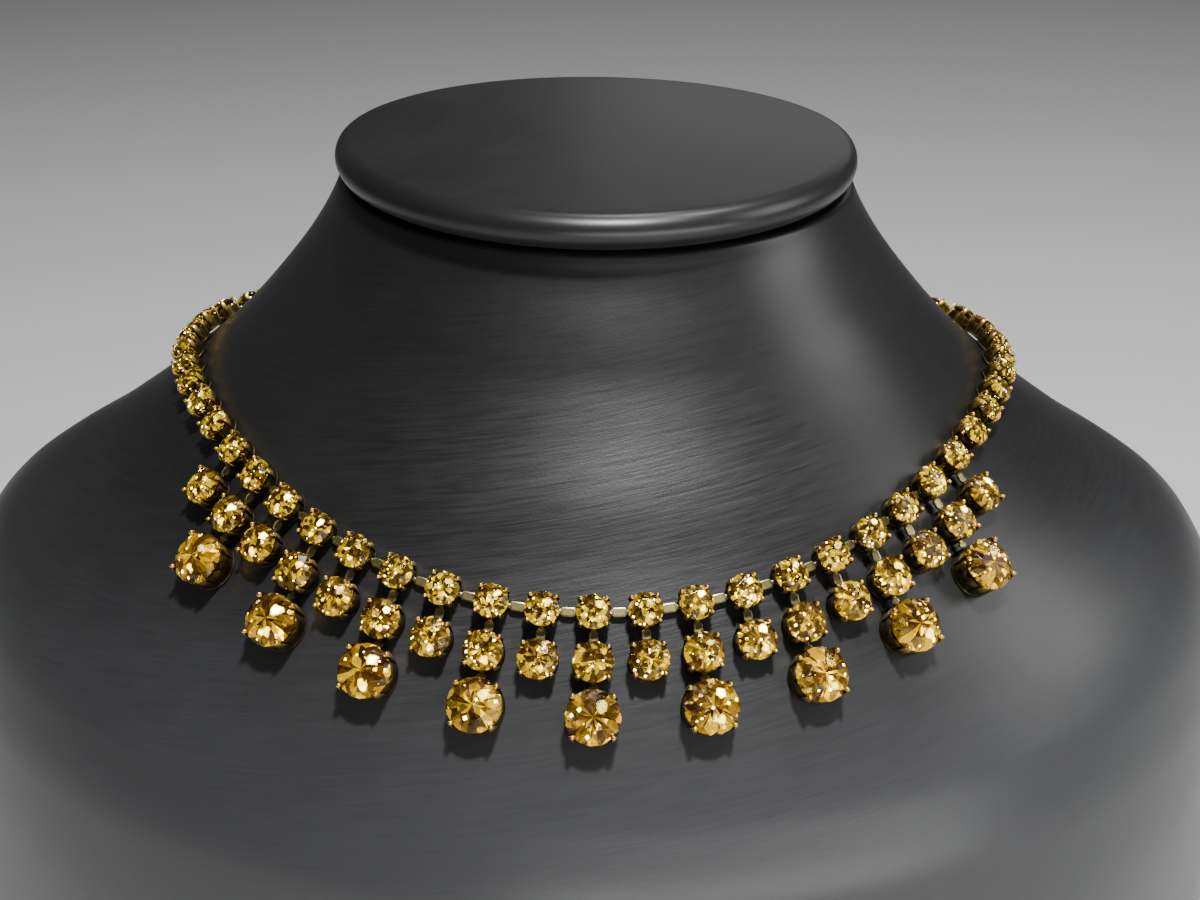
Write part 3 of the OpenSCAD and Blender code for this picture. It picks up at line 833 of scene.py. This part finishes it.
def cupWall(d, slots):  # the stamped wall: cells round the axis, open at the slots
    inner, outer = wallIn(d), wallIn(d) + chain["wall"]
    top = wallTop(d)
    half = math.degrees(math.asin(setting["slotWide"] / 2 / outer))
    stops = set(np.round(np.arange(setting["sides"]) * 360 / setting["sides"], 3))
    for s in slots:
        stops = {a for a in stops if abs((a - s + 180) % 360 - 180) > half + setting["slotClear"]}
        stops |= {round((s - half) % 360, 3), round(s % 360, 3), round((s + half) % 360, 3)}
    angles = sorted(stops)
    n = len(angles)
    dip = setting["notch"] * d / math.sqrt(2)

    def topAt(a):
        off = (a + 45) % 90 - 45
        reach = abs(math.sin(math.radians(off))) * outer
        return top - max(0.0, dip - setting["notchShort"] - reach)

    levels = [0.0, *(setting[k] for k in ("rimHigh", "wallFrom", "slotLow", "slotHigh")), None]
    slotBand = 3

    def outerAt(level):
        if level is None:       # the wall's top
            return outer
        out = setting["rim"] if level <= setting["rimHigh"] else 0
        return outer - setting["taper"] * (1 - level / top) + out

    points = []
    for a in angles:
        c, s = math.cos(math.radians(a)), math.sin(math.radians(a))
        for level in levels:
            z = topAt(a) if level is None else level
            for r in (outerAt(level), inner):
                points.append((r * c, r * s, z))
    levelCount = len(levels)

    def at(k, level, side):  # number of a point: side 0 is the outer one
        return (k % n) * levelCount * 2 + level * 2 + side

    def strip(k, low, lowSide, high, highSide):  # from one angle to the next
        faces.append((at(k, low, lowSide), at(k + 1, low, lowSide), at(k + 1, high, highSide),
                      at(k, high, highSide)))

    def opened(k, band):
        here = angles[k % n]
        middle = (here + ((angles[(k + 1) % n] - here) % 360) / 2) % 360
        return band == slotBand and any(abs((middle - s + 180) % 360 - 180) < half for s in slots)

    faces = []
    for k in range(n):
        for band in range(levelCount - 1):
            if opened(k, band):
                continue
            above = band + 1
            strip(k, band, 0, above, 0)
            faces.append((at(k, band, 1), at(k, above, 1), at(k + 1, above, 1), at(k + 1, band, 1)))
            if band == levelCount - 2 or opened(k, above):
                strip(k, above, 0, above, 1)
            if band and opened(k, band - 1):
                faces.append((at(k, band, 0), at(k, band, 1), at(k + 1, band, 1), at(k + 1, band, 0)))
            if opened(k - 1, band):
                faces.append((at(k, band, 0), at(k, above, 0), at(k, above, 1), at(k, band, 1)))
            if opened(k + 1, band):
                faces.append((at(k + 1, band, 0), at(k + 1, band, 1), at(k + 1, above, 1),
                              at(k + 1, above, 0)))
    # The floor's top reaches just into the wall, and its underside out to the foot
    base, reach = len(points), inner * 1.01
    for a in angles:
        c, s = math.cos(math.radians(a)), math.sin(math.radians(a))
        points.append((reach * c, reach * s, chain["wall"]))
    faces.append(tuple(base + k for k in range(n)))
    faces.append(tuple(at(k, 0, 0) for k in range(n - 1, -1, -1)))
    return np.array(points), faces


# A bar through (r, z) points in the XZ plane. Its section is an oval at square=1, and squarer below that
def tube(path, wide, thick, sides=10, square=0.7):
    path = np.asarray(path, float)
    along = np.gradient(path, axis=0)
    along /= np.linalg.norm(along, axis=1)[:, None]
    a = np.arange(sides) * 2 * math.pi / sides
    points = []
    for (r, z), (dr, dz), w, t in zip(path, along, wide, thick):
        for c, s in zip(np.cos(a), np.sin(a)):
            c, s = np.sign(c) * abs(c) ** square, np.sign(s) * abs(s) ** square
            points.append((r - dz * t / 2 * c, w / 2 * s, z + dr * t / 2 * c))
    return np.array(points), ringFaces(len(path), sides)


def bead(centre, sizes, lean, rows=8, sides=14, pole=0.12):  # a rounded claw tip with small flat poles
    a = np.arange(sides) * 2 * math.pi / sides
    rings = [np.stack([math.sin(p) * np.cos(a), math.sin(p) * np.sin(a), np.full(sides, -math.cos(p))], -1)
             for p in np.linspace(pole, math.pi - pole, rows)]
    points = np.concatenate(rings) * sizes
    c, s = math.cos(lean), math.sin(lean)
    x, y, z = points.T
    return np.stack([x * c - z * s, y, x * s + z * c], -1) + centre, ringFaces(rows, sides)


def prong(d):
    outer = wallIn(d) + chain["wall"]
    reach = d / 2 + gem["gap"] + setting["prongThick"] / 2
    beadR = 0.22 + 0.025 * d
    beadZ = edgeZ(d) + gem["girdle"] * d + beadR * 1.5
    wide = 0.12 * d + 0.2
    # out of the wall, up beside the stone and in over its edge
    path = [
        (outer - 0.08, 0.5), (outer + 0.02, 0.85), (outer + 0.16, wallTop(d) * 0.75),
        (reach - 0.02, wallTop(d)), (reach, edgeZ(d)), (reach - 0.02, beadZ - 0.35),
        (reach - 0.14, beadZ - 0.05),
    ]
    bar = tube(path, [wide * w for w in setting["prongWidths"]], setting["prongDepths"])
    centre = np.array([d / 2 + gem["gap"] - 0.17, 0, beadZ + 0.03])
    return bar, bead(centre, beadR * np.array(setting["beadShape"]), setting["beadLean"])


def makeTemplate(d, slots):
    shape = Shape()
    top = edgeZ(d) + gem["girdle"] * d + setting["shineTop"]

    def put(template, turn=0.0):
        x, y, z = template[0].T
        a = math.radians(turn)
        c, s = math.cos(a), math.sin(a)
        shape.add(np.stack([x * c - y * s, x * s + y * c, z], -1), template[1])

    put(cupWall(d, slots))
    bar, tip = prong(d)
    for k in range(4):
        put(bar, 45 + 90 * k)
        put(tip, 45 + 90 * k)
    points = np.concatenate(shape.points)
    return (points, shape.faces), points / np.array([d / 2, d / 2, top])


def addSetting(shape, size, seat, up, ways):
    axes = seatAxes(seat, up)
    template, place = makeTemplate(gem[size], [wayAngle(axes, w) for w in ways])
    shape.addAt(axes, template, metalPlace=place)


brassFinish = metalFinish("settingBrass", metalLook["pale"], metalLook["paintedShadeAndWear"])


def makeSettings():
    row = Shape()
    for i in range(-lastSetting, lastSetting + 1):
        addSetting(row, "small", smallSeat(i), smallUp(i), smallWays(i))
    row.build("rowSettings", brassFinish, "setting_metal", "main_cups", sharp=40)
    middle = Shape()
    for i in range(-sideDrops, sideDrops + 1):
        addSetting(middle, "middle", middleSeats[i], middleWays(i)[0], middleWays(i))
    middle.build("middleSettings", brassFinish, "setting_metal", "mid_cups", sharp=40)
    for i in range(-sideLarge, sideLarge + 1):
        single = Shape()
        up = way(largeSeats[i], middleSeats[2 * i])
        addSetting(single, "large", largeSeats[i], up, [up])
        single.build(f"largeSetting{i + sideLarge + 1}", brassFinish, "setting_metal",
                     f"large_cup_{i + sideLarge + 1}", sharp=40)


makeSettings()
print("settings made")


# Links and clasp
link = {
    "headR": 0.62, "headInset": 0.65, "neckWide": 0.7, "bodyGap": 0.15, "corner": 0.3,
    "broken": 0.05, "rim": 0.22, "recess": 0.07,
    "overlap": 0.3,      # how far the neck runs into the body
    "neckThin": 0.9,     # its thickness as a share of the body's
}


def ordered(solid):  # its points and faces, in the same order each run
    corners = sorted(solid.verts, key=lambda v: tuple(v.co))
    for number, corner in enumerate(corners):
        corner.index = number
    faces = sorted(tuple(v.index for v in f.verts) for f in solid.faces)
    return np.array([v.co for v in corners]), faces


def flatBar(outline, thick, rim=0.0, recess=0.0):  # a stamped plate with broken edges and a sunk middle
    solid = bmesh.new()
    face = solid.faces.new([solid.verts.new((x, y, -thick / 2)) for x, y in outline])
    top = bmesh.ops.extrude_face_region(solid, geom=[face])
    raised = [v for v in top["geom"] if isinstance(v, bmesh.types.BMVert)]
    bmesh.ops.translate(solid, verts=raised, vec=(0, 0, thick))
    bmesh.ops.recalc_face_normals(solid, faces=solid.faces[:])
    edges = [e for e in solid.edges if any(abs(f.normal.z) > 0.9 for f in e.link_faces)]
    bmesh.ops.bevel(solid, geom=edges, offset=link["broken"], segments=2, affect="EDGES", profile=0.5)
    if recess:
        for inset in ({"thickness": rim}, {"thickness": recess * 0.8, "depth": -recess}):
            upper = max((f for f in solid.faces if f.normal.z > 0.99), key=lambda f: f.calc_area())
            bmesh.ops.inset_region(solid, faces=[upper], **inset)
    result = ordered(solid)
    solid.free()
    return result


def bodyOutline(start, end):
    h, c = chain["linkWide"] / 2, link["corner"]
    return [(start, c - h), (start + c, -h), (end - c, -h), (end, c - h),
            (end, h - c), (end - c, h), (start + c, h), (start, h - c)]


def neckOutline(headX, farX):  # the head behind the wall and the neck through its slot
    side = 1 if farX > headX else -1
    half = link["neckWide"] / 2
    gap = math.degrees(math.asin(half / link["headR"]))
    arc = np.radians(np.linspace(gap, 360 - gap, 16))
    points = [(headX + side * link["headR"] * math.cos(a), link["headR"] * math.sin(a)) for a in arc]
    points += [(farX, -half), (farX, half)]
    return points if side > 0 else points[::-1]


def addLink(shape, a, b, dA, dB):
    start, end = linkPoint(a), linkPoint(b)
    length = apart(start, end)
    axes = linkAxes(start, end, skinNormal(*a) + skinNormal(*b))
    bodyA, bodyB = (wallIn(d) + chain["wall"] + link["bodyGap"] for d in (dA, dB))
    headA, headB = (wallIn(d) - link["headInset"] for d in (dA, dB))
    thin = chain["linkThick"] * link["neckThin"]
    pieces = [
        flatBar(bodyOutline(bodyA, length - bodyB), chain["linkThick"], link["rim"], link["recess"]),
        flatBar(neckOutline(headA, bodyA + link["overlap"]), thin),
        flatBar(neckOutline(length - headB, length - bodyB - link["overlap"]), thin),
    ]
    for piece in pieces:
        shape.addAt(axes, piece, metalPlace=(0, 0, metalLook["linkShine"]))


linkFinish = metalFinish("linkBrass", metalLook["link"], metalLook["linkLow"])


def makeLinks():
    row = Shape()
    for i in range(-lastSetting, lastSetting):
        addLink(row, smallSeat(i), smallSeat(i + 1), gem["small"], gem["small"])
    row.build("rowLinks", linkFinish, "link_metal", "main_links", sharp=30)
    middle = Shape()
    for i in range(-sideDrops, sideDrops + 1):
        addLink(middle, smallSeat(i), middleSeats[i], gem["small"], gem["middle"])
    middle.build("middleDropLinks", linkFinish, "link_metal", "mid_drop_links", sharp=30)
    large = Shape()
    for i in range(-sideLarge, sideLarge + 1):
        addLink(large, middleSeats[2 * i], largeSeats[i], gem["middle"], gem["large"])
    large.build("largeDropLinks", linkFinish, "link_metal", "large_drop_links", sharp=30)


def makeClasp():
    shape = Shape()
    h, w, c = chain["claspLong"] / 2, chain["claspWide"] / 2, chain["claspCorner"]
    outline = [
        (-h, c - w), (c - h, -w), (h - c, -w), (h, c - w),
        (h, w - c), (h - c, w), (c - h, w), (-h, w - c),
    ]
    middle = claspFoot + claspUp * chain["claspThick"] / 2
    axes = linkAxes(middle, middle + np.array([1.0, 0, 0]), claspUp)
    box = flatBar(outline, chain["claspThick"], chain["claspRim"], chain["claspRecess"])
    shape.addAt(axes, box, metalPlace=(0, 0, metalLook["claspShine"]))
    for side in (-1, 1):
        seat = smallSeat(side * lastSetting)
        start, end = linkPoint(seat), tongueEnd(side)
        length = apart(start, end)
        axes = linkAxes(start, end, claspUp + skinNormal(*seat))
        head = wallIn(gem["small"]) - link["headInset"]
        body = wallIn(gem["small"]) + chain["wall"] + link["bodyGap"]
        neckPlate = flatBar(neckOutline(head, body + link["overlap"]), chain["linkThick"] * link["neckThin"])
        for part in (flatBar(bodyOutline(body, length), chain["linkThick"]), neckPlate):
            shape.addAt(axes, part, metalPlace=(0, 0, metalLook["claspShine"]))
    finish = metalFinish("claspBrass", metalLook["pale"], metalLook["paintedShadeAndWear"])
    shape.build("claspBox", finish, "clasp_metal", "clasp", sharp=30)


makeLinks()
makeClasp()
print("links and clasp made")


# Floor and light
studio = {
    "world": 0.09, "sky": (0.97, 0.98, 1.0, 1),
    "floorSize": 4, "floorGap": 0.0002, "paper": ((0.60, 0.60, 0.60), (0.64, 0.64, 0.64)),
    # name, size (m), place (m), aim (m), power (W)
    "lights": [
        ("key", (0.09, 0.08), (0.09, -0.34, 0.95), (0, -0.05, 0.12), 14.0),
        ("low", (1.4, 0.22), (0.45, -1.00, 0.13), (0, -0.05, 0.08), 8.0),
        ("side", (0.5, 0.6), (1.10, -0.15, 0.62), (0.03, 0, 0.10), 4.8),
        ("behind", (1.1, 0.5), (0.5, 1.6, 0.80), (0, 0, 0.15), 1.0),
        ("sparkRight", (0.06, 0.06), (0.24, 0.05, 0.75), (0, -0.05, 0.12), 1.0),
        ("sparkBack", (0.06, 0.06), (0.06, 0.22, 0.80), (0, -0.05, 0.12), 1.0),
    ],
}


def makeStudio():
    floor = bmesh.new()
    bmesh.ops.create_grid(floor, x_segments=8, y_segments=8, size=studio["floorSize"])
    mesh = bpy.data.meshes.new("floor")
    floor.to_mesh(mesh)
    floor.free()
    mesh.materials.append(floorFinish())
    piece = bpy.data.objects.new("floor", mesh)
    piece.location.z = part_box("bust_body")[0].z - studio["floorGap"]
    bpy.context.scene.collection.objects.link(piece)
    world = bpy.data.worlds.new("studio")
    world.use_nodes = True
    world.node_tree.nodes["Background"].inputs["Color"].default_value = studio["sky"]
    world.node_tree.nodes["Background"].inputs["Strength"].default_value = studio["world"]
    bpy.context.scene.world = world
    for name, size, place, aim, power in studio["lights"]:
        data = bpy.data.lights.new(name, "AREA")
        data.shape = "RECTANGLE"
        data.size, data.size_y = size
        data.energy = power
        lamp = bpy.data.objects.new(name, data)
        lamp.location = place
        lamp.rotation_euler = (Vector(aim) - Vector(place)).to_track_quat("-Z", "Y").to_euler()
        bpy.context.scene.collection.objects.link(lamp)


makeStudio()
print("floor and lights placed")
